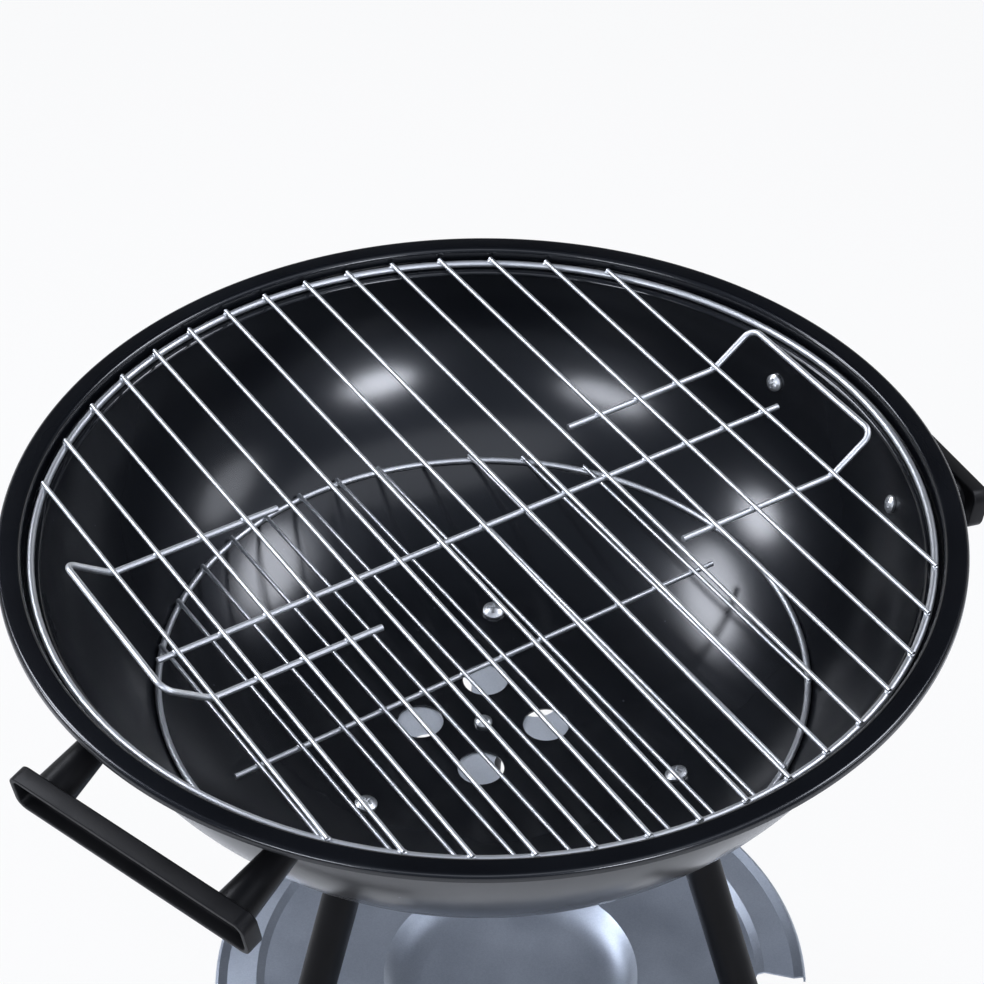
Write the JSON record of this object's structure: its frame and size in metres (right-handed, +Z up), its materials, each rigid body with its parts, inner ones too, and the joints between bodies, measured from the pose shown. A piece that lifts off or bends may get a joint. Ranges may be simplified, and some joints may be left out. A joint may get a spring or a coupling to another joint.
{
  "type": "kettle barbecue",
  "caption": "Round kettle barbecue without a lid: enamelled bowl on splayed tube legs, with cooking and charcoal grates, bottom damper, side handles, shelf and wheels.",
  "frame": {"origin": "on the ground, straight under the axis of the bowl", "axes": "+Z up along the bowl's axis; +X away from the foot leg, towards the two wheels; +Y along the axle, to the left wheel"},
  "size_m": [0.4537, 0.4648, 0.5537],
  "materials": {
    "black_enamel": "gloss enamel",
    "bright_wire": "bright plated wire",
    "dull_wire": "drawn and plated wire",
    "plated_screw": "zinc plated",
    "silver_coat": "silver metallic coat",
    "leg_coat": "satin powder coat",
    "black_moulding": "satin moulding",
    "wheel_moulding": "matte moulding",
    "axle_steel": "turned bright"
  },
  "bodies": {
    "frame": {"bowl": "black_enamel", "vent_screw": "plated_screw", "vent_washer": "plated_screw", "vent_nut": "plated_screw", "leg_left": "leg_coat", "leg_right": "leg_coat", "leg_foot": "leg_coat", "leg_end_plug_left": "black_moulding", "leg_end_plug_right": "black_moulding", "leg_plug_left": "black_moulding", "leg_plug_right": "black_moulding", "leg_plug_foot": "black_moulding", "foot_cap": "black_moulding", "leg_screws": "plated_screw", "handle_right": "black_moulding", "handle_left": "black_moulding", "handle_screws_right": "plated_screw", "handle_screws_left": "plated_screw", "shelf": "silver_coat", "shelf_screws": "plated_screw", "shelf_nuts": "plated_screw", "axle": "axle_steel", "axle_spacer_left": "black_moulding", "axle_spacer_right": "black_moulding", "axle_cap_left": "black_moulding", "axle_cap_right": "black_moulding"},
    "damper": {"vent_damper": "silver_coat"},
    "cooking_grate": {"cooking_grate_ring": "bright_wire", "cooking_grate_wires": "bright_wire", "cooking_grate_cross_bar": "bright_wire", "cooking_grate_loop_right": "bright_wire", "cooking_grate_loop_left": "bright_wire"},
    "charcoal_grate": {"charcoal_grate_ring": "dull_wire", "charcoal_grate_wires": "dull_wire", "charcoal_grate_cross_bar": "dull_wire"},
    "wheel_left": {"wheel_left": "wheel_moulding"},
    "wheel_right": {"wheel_right": "wheel_moulding"}
  },
  "joints": [
    {"name": "cooking_grate_lift", "type": "slide", "parent": "frame", "child": "cooking_grate", "axis": [0, 0, 1], "range_m": [0, 0.25]},
    {"name": "charcoal_grate_lift", "type": "slide", "parent": "frame", "child": "charcoal_grate", "axis": [0, 0, 1], "range_m": [0, 0.08]},
    {"name": "damper_turn", "type": "hinge", "parent": "frame", "child": "damper", "pos_m": [0, 0, 0.4112], "axis": [0, 0, 1], "range_deg": [-35, 10]},
    {"name": "wheel_left_spin", "type": "hinge", "parent": "frame", "child": "wheel_left", "pos_m": [0.07818, 0.19421, 0.075], "axis": [0, 1, 0], "continuous": true},
    {"name": "wheel_right_spin", "type": "hinge", "parent": "frame", "child": "wheel_right", "pos_m": [0.07818, -0.19421, 0.075], "axis": [0, 1, 0], "continuous": true}
  ]
}
